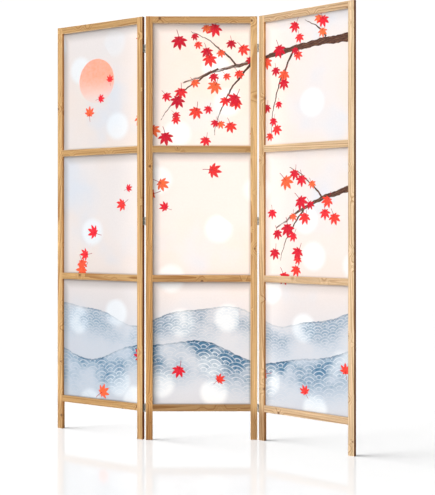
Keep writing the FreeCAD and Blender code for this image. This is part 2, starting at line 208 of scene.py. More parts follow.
timber = {
    "early": srgb(223, 187, 135),  # the pale wood of spring
    "late": srgb(165, 115, 61),  # the dark line that ends each year
    "knot": srgb(104, 60, 32),
    "worn": srgb(240, 208, 164),  # sanded edges, lighter, which also stand as a painted highlight along them
    "ringSpacing": 0.0080,  # between the bold years
    "ringWander": 0.0104,  # how far a noise bends the rings
    "thinYears": 4.0,  # years from one bold one to the next
    "yearRise": (0.35, 0.88),  # shares of a year between which its dark grows
    "yearEnd": (1.0, 0.93),  # and between which it breaks off
    "boldLevels": (0.28, 0.90),  # least and most dark of the bold years
    "thinLevels": (0.10, 0.62),  # and of the thin ones
    "knotCell": 0.062,  # one knot to a cube of this side, most of them outside the timber
    "knotRadius": 0.0056,
    "knotSizes": (0.35, 1.25),  # least and most, in those radii
    "knotEdge": (1.15, 0.60),  # where a knot's dark begins and is whole, in its own radii
    "knotBend": (5.0, 2.2),  # rings bend from so many radii away, by so many ring spacings
    "noises": {  # turns in a metre along the timber, then both ways across it, and levels of detail
        "wander": ((2.2, 22, 22), 3),
        "streak": ((3.0, 120, 120), 3),
        "fibre": ((26, 1500, 1500), 3),
        "fleck": ((130, 2200, 2200), 0),
        "dusk": ((2.0, 30, 30), 2),
        "wear": ((14, 60, 60), 3),
    },
    "streakSwing": 0.42,
    "fibreSwing": 0.30,
    "fleckRange": (0.66, 0.76),  # of its noise: resin, in short dark lines
    "duskRange": (0.45, 0.75),  # of its noise: browner stretches
    "markLevels": {"dusk": 0.25, "fleck": 0.35, "knot": 0.85, "worn": 0.40},  # how strongly each shows
    "edgeReach": 0.0026,  # how far the sanded edge runs in
    "wearRange": (0.35, 0.65),  # of its noise: where an edge is sanded more
    "wearLevels": (0.4, 1.0),
    "sideShadingReach": (0.0012, 0.0003),  # how near the side the painted shading of the planed sides begins and is whole
    "foot": (0.55, 0.47, 0.40, 1.0),  # painted shade near the floor: tint of a leg, where it is darkest
    "footReach": (0.15, 0.09),  # heights between which the painted shade on a leg grows
    "roughness": (0.50, 0.40),  # of early and of late wood
    "fibreRoughness": 0.12,
    "heights": (0.5, 0.6, -0.4),  # of late wood, fibres and knots, in depths of the relief
    "relief": (0.22, 0.0006),
    "even": {"Specular IOR Level": 0.20, "Coat Weight": 0.04, "Coat Roughness": 0.35},
    "pithDepth": (0.012, 0.034),  # from the timber's middle to the heart of its tree
    "lean": 0.030,  # how much the heart runs out of line
    "seed": 41,
    "seedSpan": 10.0,  # members take their grain from places this far apart at most
    "seedStride": 7.3,  # and this many times as far along the grain
}


def makeEdgeWearAndHighlight():
    # product of how near a point is to the side and to the face, broken up by a lengthwise noise: sanded
    # wear, and a painted highlight along the edges
    inputs = {"Vector": (0, 0, 0), "Half Size": (0, 0, 0), "Reach": 0.0}
    t, given, made = newGroup("edgeWearAndHighlight", inputs, ["Mask"])
    insets = t.vector("SUBTRACT", given["Half Size"], t.vector("ABSOLUTE", given["Vector"]))
    nearFace, nearSide = (t.ramp(inset, given["Reach"], 0.0) for inset in t.split(insets)[1:])
    patches = t.ramp(t.stretched(given["Vector"], *timber["noises"]["wear"]), *timber["wearRange"])
    t.feed(made, {"Mask": t.times(nearFace, nearSide, t.between(patches, *timber["wearLevels"]))})
    return t.tree


def makePineGrain():
    # Yearly rings are cylinders about the tree's heart: the distance from the heart, bent by noise and
    # round knots, is cut into years, and each year runs from pale to a narrow dark line
    inputs = {
        "Vector": (0, 0, 0),  # X along the timber
        "Heart": (0, 0, 0),
        "Lean": (0, 0, 0),
        "Seed": 0.0,
        "Tint": (1, 1, 1, 1),
        # painted shade on the planed sides, or painted light on the undersides of the high rails
        "Side Shading": (1, 1, 1, 1),
        "Half Size": (0, 0, 0),
        "Foot Shade": 0.0,  # how deep the painted shade at the low end is
    }
    t, given, made = newGroup("pineGrain", inputs, ["Color", "Roughness", "Height"])
    vector, seed, halfSize = given["Vector"], given["Seed"], given["Half Size"]
    own = t.vector("ADD", vector, t.join(t.times(seed, timber["seedStride"]), seed, 0.0))

    def pattern(name):
        return t.stretched(own, *timber["noises"][name])

    x, _, aside = t.split(vector)
    drift = t.vector("MULTIPLY", given["Lean"], t.join(x, x, x))
    _, y, z = t.split(t.vector("ADD", t.vector("ADD", vector, given["Heart"]), drift))
    heart = t.calc("SQRT", t.plus(t.calc("POWER", y, 2.0), t.calc("POWER", z, 2.0)))
    # knots lie where a scattered point falls inside the timber
    cells = t.add("TexVoronoi", {"Vector": own, "Scale": 1 / timber["knotCell"]}).outputs
    away = t.times(cells["Distance"], timber["knotCell"])
    radius = t.times(t.between(t.split(cells["Color"])[0], *timber["knotSizes"]), timber["knotRadius"])
    knot = t.ramp(away, *(t.times(radius, share) for share in timber["knotEdge"]))
    bendReach, bend = timber["knotBend"]
    around = t.ramp(away, t.times(radius, bendReach), 0.0, 0.0, bend * timber["ringSpacing"])
    bent = t.plus(t.times(pattern("wander"), timber["ringWander"]), heart, around)
    year = t.over(bent, timber["ringSpacing"])

    def lateWood(years, levels):  # dark that grows slowly in each year and breaks off, bolder in some
        phase = t.calc("FRACT", years)
        rise = t.times(t.ramp(phase, *timber["yearRise"]), t.ramp(phase, *timber["yearEnd"]))
        bold = t.add("TexWhiteNoise", {"W": t.calc("FLOOR", years)}, noise_dimensions="1D").outputs["Value"]
        return t.times(rise, t.between(bold, *levels))

    thinYear = t.times(year, timber["thinYears"])
    late = t.largest(lateWood(year, timber["boldLevels"]), lateWood(thinYear, timber["thinLevels"]))
    streak, fibre = pattern("streak"), pattern("fibre")
    shade = t.times(t.swing(streak, timber["streakSwing"]), t.swing(fibre, timber["fibreSwing"]))
    colour = t.shaded(t.blend(late, timber["early"], timber["late"]), shade)
    wear = {"Vector": vector, "Half Size": halfSize, "Reach": timber["edgeReach"]}
    marks = [
        ("dusk", "late", t.ramp(pattern("dusk"), *timber["duskRange"])),
        ("fleck", "late", t.ramp(pattern("fleck"), *timber["fleckRange"])),
        ("knot", "knot", knot),
        ("worn", "worn", t.place(edgeWearAndHighlight, wear)["Mask"]),
    ]
    for name, tone, mask in marks:
        colour = t.blend(t.times(mask, timber["markLevels"][name]), colour, timber[tone])
    halfX, _, halfZ = t.split(halfSize)
    # painted shade: the leg grows darker towards the floor
    foot = t.ramp(t.plus(x, halfX), *timber["footReach"], 0.0, given["Foot Shade"])
    # painted shading of the planed sides: darker where they turn from the light, paler under the high rails
    side = t.ramp(t.minus(halfZ, t.unsigned(aside)), *timber["sideShadingReach"])
    tint = t.blend(foot, given["Tint"], timber["foot"], "MULTIPLY")
    tint = t.blend(side, tint, given["Side Shading"])
    heights = zip((late, fibre, knot), timber["heights"])
    gloss = t.between(late, *timber["roughness"])
    t.feed(made, {
        "Color": t.blend(1.0, colour, tint, "MULTIPLY"),
        "Roughness": t.plus(t.times(fibre, timber["fibreRoughness"]), gloss),
        "Height": t.plus(*(t.times(mask, height) for mask, height in heights)),
    })
    return t.tree


edgeWearAndHighlight = makeEdgeWearAndHighlight()
pineGrain = makePineGrain()
timberDraws = np.random.default_rng(timber["seed"])

# Each member is its own piece of timber, and its grade is a tint: partly the member's own tone, and partly
# painted light and shade that differs from panel to panel and member to member
toneAndShadeTints = {
    "clear": (1.01, 0.97, 0.93),
    "ripe": (0.90, 0.85, 0.78),
    "honey": (0.80, 0.70, 0.59),
    "tan": (0.73, 0.66, 0.56),
    "umber": (0.56, 0.48, 0.41),
    "brown": (0.86, 0.71, 0.55),
    "cream": (0.94, 0.97, 1.12),
    "fawn": (0.85, 0.89, 1.10),
    "pale": (1.01, 1.14, 1.50),
    # tints for the planed sides and undersides: painted shade, and painted light for the undersides
    "undersideLight": (1.20, 1.32, 1.60),
    "sideShadeSoft": (0.93, 0.67, 0.43),
    "sideShadeMid": (0.76, 0.54, 0.35),
    "sideShadeDeep": (0.30, 0.15, 0.05),
    "sideShadeDarkest": (0.27, 0.12, 0.03),
}
# Of each panel: its stiles, left and right, with the painted shade on their planed sides and the painted
# shade that darkens their legs, and its rails from the floor up
members = {
    "left": {
        "stiles": ("ripe", "ripe"),
        "sides": ("sideShadeSoft", "sideShadeDarkest"),
        "legs": (0.55, 0.50),
        "rails": ("tan", "tan", "tan", "tan"),
    },
    "centre": {
        "stiles": ("brown", "clear"),
        "sides": ("clear", "clear"),
        "legs": (0.77, 0.80),
        "rails": ("umber", "honey", "tan", "honey"),
    },
    "right": {
        "stiles": ("cream", "pale"),
        "sides": ("sideShadeMid", "sideShadeDeep"),
        "legs": (0.85, 0.20),
        "rails": ("fawn", "fawn", "pale", "fawn"),
    },
}
highRails = ("upper", "top")  # seen from below
highRailUndersideLight = "undersideLight"  # painted light: their undersides are painted paler than their faces, to lift the shade under them
beadGrade = "ripe"


def timberVector(t, panel, low, high, upright):
    # turns Object coordinates so that X runs along the timber, with its middle at zero
    place = panelFrames[panel]
    turn = Matrix.Rotation(place["turn"], 3, "Z")
    if upright:
        turn = Matrix.Rotation(math.radians(90), 3, "Y") @ turn
    middle = Vector(((low + high) / 2 + place["corner"]) @ place["axes"])
    values = {
        "Vector": t.add("TexCoord").outputs["Object"],
        "Location": -(turn @ middle),
        "Rotation": turn.to_euler("XYZ"),
    }
    return t.add("Mapping", values).outputs[0]


def placeGrain(t, panel, low, high, upright, grade, sideShadingGrade, foot=0.0):
    # timber of its own: where its tree's heart lies, how it leans and its seed are drawn
    halfSizes = (high - low) / 2
    angle, depth = timberDraws.uniform(0, 2 * math.pi), timberDraws.uniform(*timber["pithDepth"])
    return t.place(pineGrain, {
        "Vector": timberVector(t, panel, low, high, upright),
        "Heart": (0.0, depth * math.cos(angle), depth * math.sin(angle)),
        "Lean": (0.0, *timberDraws.uniform(-timber["lean"], timber["lean"], 2)),
        "Seed": timberDraws.uniform(0, timber["seedSpan"]),
        "Tint": (*toneAndShadeTints[grade], 1.0),
        "Side Shading": (*toneAndShadeTints[sideShadingGrade], 1.0),
        "Half Size": tuple(halfSizes[::-1] if upright else halfSizes),
        "Foot Shade": foot,
    })


def dressMember(name, panel, upright, grade, sideShadingGrade, foot=0.0):
    material, t, shader = newMaterial(name + "_pine")
    grain = placeGrain(t, panel, *localBox(panel, name), upright, grade, sideShadingGrade, foot)
    finishSurface(t, shader, timber, grain["Color"], grain["Roughness"], grain["Height"])
    dress(name, material)


def dressBeads(name, panel):
    # four strips in one piece: the grain runs up in the two at the sides, and across in the others
    material, t, shader = newMaterial(name + "_pine")
    low, high = localBox(panel, name)
    level, upright = (placeGrain(t, panel, low, high, up, beadGrade, beadGrade) for up in (False, True))
    x = t.split(timberVector(t, panel, low, high, False))[0]
    inner = (low[0] + high[0]) / 2 - panelFrames[panel]["stile"]  # from the opening's middle to the stile
    atSide = t.calc("GREATER_THAN", t.unsigned(x), inner)
    colour = t.blend(atSide, level["Color"], upright["Color"])
    roughness, height = (t.mix(atSide, level[key], upright[key]) for key in ("Roughness", "Height"))
    finishSurface(t, shader, timber, colour, roughness, height)
    dress(name, material)


for panel, looks in members.items():
    stileLooks = zip(("left", "right"), looks["stiles"], looks["sides"], looks["legs"])
    for side, *stileLook in stileLooks:
        dressMember(f"{panel}_{side}_stile", panel, True, *stileLook)
    for rail, grade in zip(rails, looks["rails"]):
        sideShadingGrade = highRailUndersideLight if rail in highRails else grade
        dressMember(f"{panel}_{rail}_rail", panel, False, grade, sideShadingGrade)
    for row in rows:
        dressBeads(f"{panel}_{row}_beads", panel)
print("pine: stiles, rails and beads finished")

# Plated steel: hinges, pins, screws and nails

steel = {
    "bright": srgb(196, 194, 188),
    "dull": srgb(120, 116, 108),
    "roughness": (0.28, 0.5),  # least and most
    "brushing": ((2600, 2600, 120), 2),  # turns in a metre along X, Y and Z, and levels of detail
    "tarnish": (220, 3),
    "brushShare": 0.4,  # in the colour; the rest of it is tarnish
    "contrast": (0.3, 0.7),
    "relief": (0.15, 0.0002),
    "even": {"Metallic": 1.0},
    "pieces": {"hinge_steel": ("_leaf",), "pin_steel": ("_pin",), "screw_steel": ("_screws", "_nails")},
}


def makePlatedSteel():
    # fine upright brushing over soft cloudy tarnish
    t, given, made = newGroup("platedSteel", {"Vector": (0, 0, 0)}, ["Color", "Roughness", "Height"])
    brushed = t.stretched(given["Vector"], *steel["brushing"])
    cloudy = t.noise(given["Vector"], *steel["tarnish"])
    both = t.mix(steel["brushShare"], cloudy, brushed)
    t.feed(made, {
        "Color": t.blend(t.ramp(both, *steel["contrast"]), steel["dull"], steel["bright"]),
        "Roughness": t.ramp(cloudy, *steel["contrast"], *steel["roughness"]),
        "Height": brushed,
    })
    return t.tree


platedSteel = makePlatedSteel()


def steelMaterial(name):
    material, t, shader = newMaterial(name)
    plate = t.place(platedSteel, {"Vector": t.add("TexCoord").outputs["Object"]})
    finishSurface(t, shader, steel, plate["Color"], plate["Roughness"], plate["Height"])
    return material


for steelName, endings in steel["pieces"].items():
    material = steelMaterial(steelName)
    for name in nodes:
        if name.endswith(endings):
            dress(name, material)
print("steel: hinges, pins, screws and nails finished")

# Printed sheets: unwoven cloth, stretched in the openings and held by the beads

cloth = {
    "step": 0.005,  # between the grid's lines
    "thickness": 0.0004,
    "slack": 0.0008,  # how far the ripples stand off the flat
    "ripples": [(0.6, 5.1, 2.2, 1), (0.4, -4.4, 3.3, 2)],  # share, turn across, turn up, times the phase
    "panelPhase": 1.7,  # from one panel to the next
    "rowPhases": (0, 0.9, 2.1),  # from the floor up
    "tucked": 0.0065,  # held flat in the rebate, all round
    "lap": 0.005,  # hidden behind the frame, all round
    "frameShadeReach": (0.006, 0.045),  # painted shade where the frame shades the cloth: greyer near the frame, evenly at first, then less and less
    "frameShadeLevels": {"left": 0.69, "centre": 0.63, "right": 0.84},  # how deep the painted shade is, on each panel
    "frameShadeWeights": (1.2, 1.0, 4.6, 6.6),  # how soon the painted shade ends: on the left, at the top, on the right, below
    "backShow": 0.30,  # how much of the print shows on the back
    "backing": srgb(240, 238, 234),
    "fibres": [((1100, 240, 1), 2), ((240, 1100, 1), 2)],  # turns in a metre, and levels of detail
    "fibreSwing": 0.060,
    "clumps": (130, 3),
    "clumpSwing": 0.035,
    "roughness": (0.68, 0.88),
    "relief": (0.12, 0.0003),
    "even": {"Emission Strength": 0.10, "Specular IOR Level": 0.2},  # the glow is painted light, standing in for light that comes through the cloth from behind
}

# The print runs over all three panels. Places are metres along the unfolded screen and up from the floor

panelPitch = 0.456  # from one panel's left edge to the next one's
leafLayerNames = ("leafUnder", "leafBetween", "leafOver")

branches = {
    # a stroke is its start and end, how far it arches, its width at the start and the tip, and its leaves
    "strokes": [
        ((1.370, 1.575), (0.600, 1.440), -0.040, 0.0380, 0.0060, 30),
        ((1.090, 1.570), (0.965, 1.225), -0.030, 0.0110, 0.0028, 20),
        ((0.905, 1.540), (0.730, 1.230), -0.030, 0.0110, 0.0028, 26),
        ((0.750, 1.500), (0.515, 1.290), -0.025, 0.0090, 0.0028, 20),
        ((1.230, 1.590), (1.130, 1.668), -0.010, 0.0085, 0.0026, 13),
        ((0.820, 1.515), (0.640, 1.650), -0.015, 0.0085, 0.0024, 16),
        ((1.370, 1.010), (0.990, 0.850), -0.025, 0.0280, 0.0050, 18),
        ((1.215, 0.965), (1.055, 1.095), -0.015, 0.0090, 0.0026, 13),
        ((1.125, 0.925), (1.010, 0.725), -0.015, 0.0085, 0.0026, 13),
    ],
    "ink": srgb(58, 36, 32),
    "inkThin": srgb(120, 84, 64),
    "thinRange": (0.45, 0.62),  # of the dry noise, where the ink is thin
    "sway": ((16, 0, 0), 2),  # this and the other noises: turns in a metre, and levels of detail
    "swayReach": 0.011,
    "swayStart": (0.0, 0.2),  # shares of the stroke between which it begins to sway
    "taper": 0.7,  # power of the share
    "swell": ((34, 0, 0), 3),
    "swellSwing": 0.45,
    "ragged": (320, 2),
    "raggedReach": 0.0008,
    "softness": 0.0004,  # half the width of the edge
    "startShares": (0.0, 0.004),
    "tipShares": (1.0, 0.985),
    "dry": ((28, 620, 620), 2),
    "dryShares": (0.2, 1.0),  # of the stroke, from wet to dry
    "bareBelow": (0.20, 0.40),  # of the dry noise, where the brush leaves least, while wet and when dry
    "fullAbove": (0.30, 0.52),  # and where it leaves most
    "bareLevel": 0.25,
    "margin": 0.06,  # a stroke counts as near a window of the print as this
    "probes": 40,  # places along a stroke where that is looked up
}

leaves = {
    "seed": 7,
    "sizes": (0.024, 0.047),  # from the stalk's end to the longest tip
    "strokeShares": (0.3, 1.03),  # where on a stroke leaves hang
    "scatter": 0.036,
    "drop": 0.012,  # how far below the stroke they hang
    "hanging": (-90, 38),  # degrees: which way a leaf points, and how far it may turn from that
    "loose": (0, 180),
    "drifts": [  # loose leaves along a line: its start, its end and how many
        ((0.660, 1.120), (0.080, 0.720), 11),
        ((0.420, 1.640), (0.060, 1.230), 5),
        ((0.080, 0.330), (1.300, 0.300), 8),
    ],
    "driftScatter": 0.075,
    "room": 1.08,  # leaves of one layer keep their two sizes times this apart
    "roomSteps": 3,  # and so many steps of the grid
    "reach": 1.05,  # a point belongs to a leaf within its size times this
    "reachSteps": 1.5,  # and so many steps of the grid
    "nowhere": -20.0,  # stands for a leaf's draw away from every leaf
    "colours": [srgb(196, 20, 44), srgb(232, 36, 52), srgb(240, 66, 48), srgb(246, 112, 62)],
    "colourSpan": 0.30,  # how much of the colours one leaf runs through
    "edge": srgb(150, 12, 34),
    "grainSwing": 0.12,
    # the form of one leaf, in its own size; a lobe is its angle, its length and its width
    "lobes": [(0, 1.0, 0.185), (37, 0.94, 0.175), (75, 0.76, 0.150), (119, 0.46, 0.115)],
    "lobePowers": (0.8, 0.9),  # a and b of its outline
    "lobeFullness": 3.2,
    "hub": 0.24,  # radius of the round middle
    "teeth": (11.0, 0.022),  # how many, and how deep
    "softness": 0.012,  # half the width of the edge
    "rimWidth": 0.05,
    "rimLevel": 0.55,
    "veinEnd": 0.86,  # share of the lobe
    "veinWidth": (0.022, 0.008),
    "veinLevel": 0.5,
    "stalkBow": 0.16,
    "stalkWidth": (0.034, 0.018),
    "stalkTip": (-0.86, -0.80),
    "stalkStart": (0.0, -0.02),
}


def strokeLine(stroke, share):  # points along a stroke: its straight line, arched as a parabola
    start, end, arch, *_ = stroke
    along = np.subtract(end, start)
    aside = np.array([-along[1], along[0]]) / np.linalg.norm(along)
    share = np.asarray(share)[:, None]
    return start + share * along + 4 * arch * share * (1 - share) * aside


def scatterLeaves():
    # leaves hang about the strokes and drift along lines; each goes on the first of the layers with room
    draws = np.random.default_rng(leaves["seed"])
    wanted = []
    for stroke in branches["strokes"]:
        *_, count = stroke
        spots = strokeLine(stroke, draws.uniform(*leaves["strokeShares"], count))
        spots = [spot + draws.normal(0, leaves["scatter"], 2) - (0, leaves["drop"]) for spot in spots]
        wanted += [(spot, *leaves["hanging"]) for spot in spots]
    for start, end, count in leaves["drifts"]:
        spots = np.linspace(start, end, count)
        spots = [spot + draws.normal(0, leaves["driftScatter"], 2) for spot in spots]
        wanted += [(spot, *leaves["loose"]) for spot in spots]
    layers = [[] for _ in leafLayerNames]
    for spot, angle, spread in wanted:
        size = draws.uniform(*leaves["sizes"])
        turn = math.radians(angle + draws.uniform(-spread, spread))
        leaf = (*spot, size, turn, draws.uniform())
        for layer in layers:
            room = [math.dist(spot, other[:2]) - leaves["room"] * (size + other[2]) for other in layer]
            if min(room, default=math.inf) > leaves["roomSteps"] * cloth["step"]:
                layer.append(leaf)
                break
    return [np.array(layer) for layer in layers]


leafLayers = scatterLeaves()
print("print: leaves on each layer", *(len(layer) for layer in leafLayers))


def leafPlaces(spots, layer):
    # each point's place in the frame of its nearest leaf, in leaf lengths, with that leaf's own draw;
    # the draw is far below zero away from every leaf
    gap = spots[:, None, :] - layer[None, :, :2]
    nearest = (np.hypot(gap[..., 0], gap[..., 1]) / layer[:, 2]).argmin(1)
    size, angle, draw = layer[nearest, 2:].T
    x, y = gap[np.arange(len(spots)), nearest].T / size
    along, aside = x * np.cos(angle) + y * np.sin(angle), y * np.cos(angle) - x * np.sin(angle)
    inside = np.hypot(x, y) < leaves["reach"] + leaves["reachSteps"] * cloth["step"] / size
    return np.stack([along, aside, np.where(inside, draw, leaves["nowhere"])], 1)


def leafLobe(t, folded, angle, length, width):
    # how far a point is inside the lobe's toothed edge, and how far it is from the lobe's vein
    sine, cosine = math.sin(math.radians(angle)), math.cos(math.radians(angle))
    x = t.vector("DOT_PRODUCT", folded, (cosine, sine, 0))
    y = t.unsigned(t.vector("DOT_PRODUCT", folded, (-sine, cosine, 0)))
    share = t.clamp(t.over(x, length))
    rise, fall = leaves["lobePowers"]
    swell = t.times(t.calc("POWER", share, rise), t.calc("POWER", t.minus(1.0, share), fall))
    count, depth = leaves["teeth"]
    teeth = t.times(t.calc("FRACT", t.times(x, -count)), depth)
    edge = t.minus(t.times(swell, width * leaves["lobeFullness"]), t.plus(y, teeth))
    vein = t.largest(y, t.times(x, -1.0), t.minus(x, length * leaves["veinEnd"]))
    return edge, vein


def makeMapleLeaf():
    # a leaf is the union of pointed lobes about its stalk's end: a lobe is as wide as share^a (1 - share)^b
    # along its own line, and folding the leaf on its midrib gives both halves at once
    t, given, made = newGroup("mapleLeaf", {"Place": (0, 0, 0), "Grain": 0.0}, ["Mask", "Color"])
    along, aside, draw = t.split(given["Place"])
    folded = t.join(along, t.unsigned(aside), 0.0)
    reach = t.minus(leaves["hub"], t.vector("LENGTH", folded))
    veins = 1.0
    for lobe in leaves["lobes"]:
        edge, vein = leafLobe(t, folded, *lobe)
        reach = t.largest(reach, edge)
        veins = t.calc("MINIMUM", veins, vein)
    bowed = t.plus(t.times(along, along, leaves["stalkBow"]), aside)
    stalkBody = t.ramp(t.unsigned(bowed), *leaves["stalkWidth"])
    stalk = t.times(stalkBody, t.ramp(along, *leaves["stalkTip"]), t.ramp(along, *leaves["stalkStart"]))
    blade = t.ramp(reach, -leaves["softness"], leaves["softness"])
    here = t.calc("GREATER_THAN", draw, 0.0)
    halfSpan = leaves["colourSpan"] / 2
    colours = t.add("ValToRGB", {0: t.plus(draw, t.between(given["Grain"], -halfSpan, halfSpan))})
    stops = colours.color_ramp.elements
    while len(stops) < len(leaves["colours"]):
        stops.new(1.0)  # placed below
    for index, colour in enumerate(leaves["colours"]):
        stops[index].position = index / (len(stops) - 1)
        stops[index].color = colour
    rim = t.ramp(reach, leaves["rimWidth"], 0.0, 0.0, leaves["rimLevel"])
    veinLines = t.ramp(veins, *leaves["veinWidth"], 0.0, leaves["veinLevel"])
    t.feed(made, {
        "Mask": t.times(t.largest(blade, stalk), here),
        "Color": t.blend(t.largest(rim, veinLines, stalk), colours.outputs[0], leaves["edge"]),
    })
    return t.tree


def makeBrushStroke():
    # distance from a line arched as 4 share (1 - share), against a width that tapers, swells with a noise
    # and dries out to the tip
    inputs = {"Vector": (0, 0, 0), "Length": 0.0, "Arch": 0.0, "Width": 0.0, "Tip": 0.0}
    t, given, made = newGroup("brushStroke", inputs, ["Mask", "Wet"])
    vector = given["Vector"]
    x, y, _ = t.split(vector)
    share = t.over(x, given["Length"])
    arch = t.times(share, t.minus(1.0, share), given["Arch"], 4.0)
    swayReach, raggedReach = branches["swayReach"], branches["raggedReach"]
    sway = t.between(t.stretched(vector, *branches["sway"]), -swayReach, swayReach)
    away = t.minus(y, t.plus(t.times(sway, t.ramp(share, *branches["swayStart"])), arch))
    taper = t.calc("POWER", t.clamp(share), branches["taper"])
    swell = t.swing(t.stretched(vector, *branches["swell"]), branches["swellSwing"])
    width = t.times(t.mix(taper, given["Width"], given["Tip"]), swell)
    ragged = t.between(t.noise(vector, *branches["ragged"]), -raggedReach, raggedReach)
    edge = t.minus(t.times(width, 0.5), t.plus(t.unsigned(away), ragged))
    body = t.ramp(edge, -branches["softness"], branches["softness"])
    ends = t.times(t.ramp(share, *branches["startShares"]), t.ramp(share, *branches["tipShares"]))
    dry = t.stretched(vector, *branches["dry"])
    bare = t.ramp(share, *branches["dryShares"], *branches["bareBelow"])
    full = t.ramp(share, *branches["dryShares"], *branches["fullAbove"])
    worn = t.between(t.ramp(dry, bare, full), branches["bareLevel"], 1.0)
    t.feed(made, {"Mask": t.times(body, ends, worn), "Wet": dry})
    return t.tree


water = {
    "pale": srgb(176, 198, 214),
    "deep": srgb(72, 114, 144),
    "ink": srgb(44, 66, 88),
    "swells": [  # back to front
        {"Top": 0.505, "Height": 0.036, "Length": 0.66, "Shift": 0.10, "Radius": 0.034, "Depth": 0.21},
        {"Top": 0.360, "Height": 0.042, "Length": 0.83, "Shift": 0.46, "Radius": 0.046, "Depth": 0.24},
    ],
    "strengths": (0.75, 1.0),
    "secondRoll": (2.3, 0.28),  # turns and height of a smaller roll, times the main one's
    "ragged": (45, 4),  # noises: turns in a metre, and levels of detail
    "raggedReach": 0.006,
    "follow": 0.6,  # how much the circles rise and fall with the roll
    "rings": 3.0,  # in each circle
    "bandEdge": (0.44, 0.30),  # where a ring's wash ends: 0 is its middle, and at 0.5 the next one begins
    "poolEdge": (0.24, 0.36),  # where its colour pools
    "poolLevel": 0.5,
    "grain": (70, 5, 0.6),
    "grainSwing": 0.45,
    "cloud": (7, 3),
    "cloudRange": (0.30, 0.62),
    "cloudLevels": (0.25, 1.0),
    "fadeStart": 0.15,  # share of the depth
    "topEdge": (0.0, 0.002),
    "bandLevels": (0.38, 1.0),
    "crestDepth": 0.004,
    "crestWidth": (0.005, 0.001),
}


def makeWaterSwell():
    # below a rolling top edge, rows of overlapping circles, every second row set over by one radius; of the
    # circles over a point the lowest counts, and its rings are the wash
    t, given, made = newGroup("waterSwell", {"Paint": (0, 0, 0), **water["swells"][0]}, ["Mask", "Ink"])
    paint, radius, depth = given["Paint"], given["Radius"], given["Depth"]
    s, z, _ = t.split(paint)
    turn = t.times(t.over(t.plus(s, given["Shift"]), given["Length"]), 2 * math.pi)
    moreTurns, lessHeight = water["secondRoll"]
    roll = t.plus(t.times(t.calc("SINE", t.times(turn, moreTurns)), lessHeight), t.calc("SINE", turn))
    lift = t.times(roll, given["Height"])
    ragged = t.between(t.noise(paint, *water["ragged"]), -water["raggedReach"], water["raggedReach"])
    below = t.plus(t.minus(t.plus(lift, given["Top"]), z), ragged)
    # rows stand half a radius apart, and a circle's place in its row is counted in radii
    up = t.over(t.minus(z, t.times(lift, water["follow"])), t.times(radius, 0.5))
    row = t.calc("FLOOR", up)
    rise = t.minus(up, row)
    odd = t.calc("MODULO", t.plus(row, 100.0), 2.0)  # no row lies as low as -100
    aside = t.calc("PINGPONG", t.minus(t.over(s, radius), odd), 1.0)
    other = t.minus(1.0, aside)

    def fromCentre(side, rowsUp):
        return t.vector("LENGTH", t.join(side, t.times(rowsUp, 0.5), 0.0))

    lower = fromCentre(other, t.plus(rise, 1.0))
    own = fromCentre(aside, rise)
    upper = fromCentre(other, t.minus(1.0, rise))
    ring = t.mix(t.calc("LESS_THAN", own, 1.0), upper, own)
    ring = t.mix(t.calc("LESS_THAN", lower, 1.0), ring, lower)
    beat = t.unsigned(t.minus(t.calc("FRACT", t.times(ring, water["rings"])), 0.5))
    bands, pool = (t.ramp(beat, *water[key]) for key in ("bandEdge", "poolEdge"))
    grain = t.noise(paint, *water["grain"])
    cloud = t.ramp(t.noise(paint, *water["cloud"]), *water["cloudRange"], *water["cloudLevels"])
    fade = t.ramp(below, depth, t.times(depth, water["fadeStart"]))
    inside = t.times(t.ramp(below, *water["topEdge"]), fade, cloud)
    wash = t.times(t.between(bands, *water["bandLevels"]), t.swing(grain, water["grainSwing"]))
    crest = t.ramp(t.unsigned(t.minus(below, water["crestDepth"])), *water["crestWidth"])
    line = t.largest(t.times(pool, bands, water["poolLevel"]), crest)
    t.feed(made, {"Mask": t.times(inside, wash), "Ink": t.times(line, inside, grain)})
    return t.tree


ground = {
    "pale": srgb(248, 233, 224),
    "warm": srgb(251, 230, 216),
    "cool": srgb(229, 230, 234),
    "foot": srgb(212, 212, 216),
    "glow": srgb(255, 253, 250),
    "dusk": srgb(209, 218, 227),
    # a cloud is its colour, where its noise begins, its turns and detail, what part shows, and how much
    "clouds": [
        ("warm", (4.1, 0, 0), (2.4, 3), (0.42, 0.66), 1.0),
        ("cool", (0, 7.7, 0), (2.8, 3), (0.50, 0.72), 0.75),
    ],
    "footReach": (0.80, 0.28),  # heights between which the foot's colour grows
    "footLevel": 0.9,
    "glowTurns": 5.0,  # glows in a metre
    "glowEdge": (0.34, 0.20),  # out from its middle in turns, where it begins and is whole
    "glowPick": (0.45, 0.55),  # of a draw, below which a glow is left out
    "glowLevel": 0.7,
    "dusks": [(0.60, 0.28, 0.85), (0.88, 1.10, 0.55)],  # from one place across to another, and how deep
    "grain": (60, 6, 0.65),
}


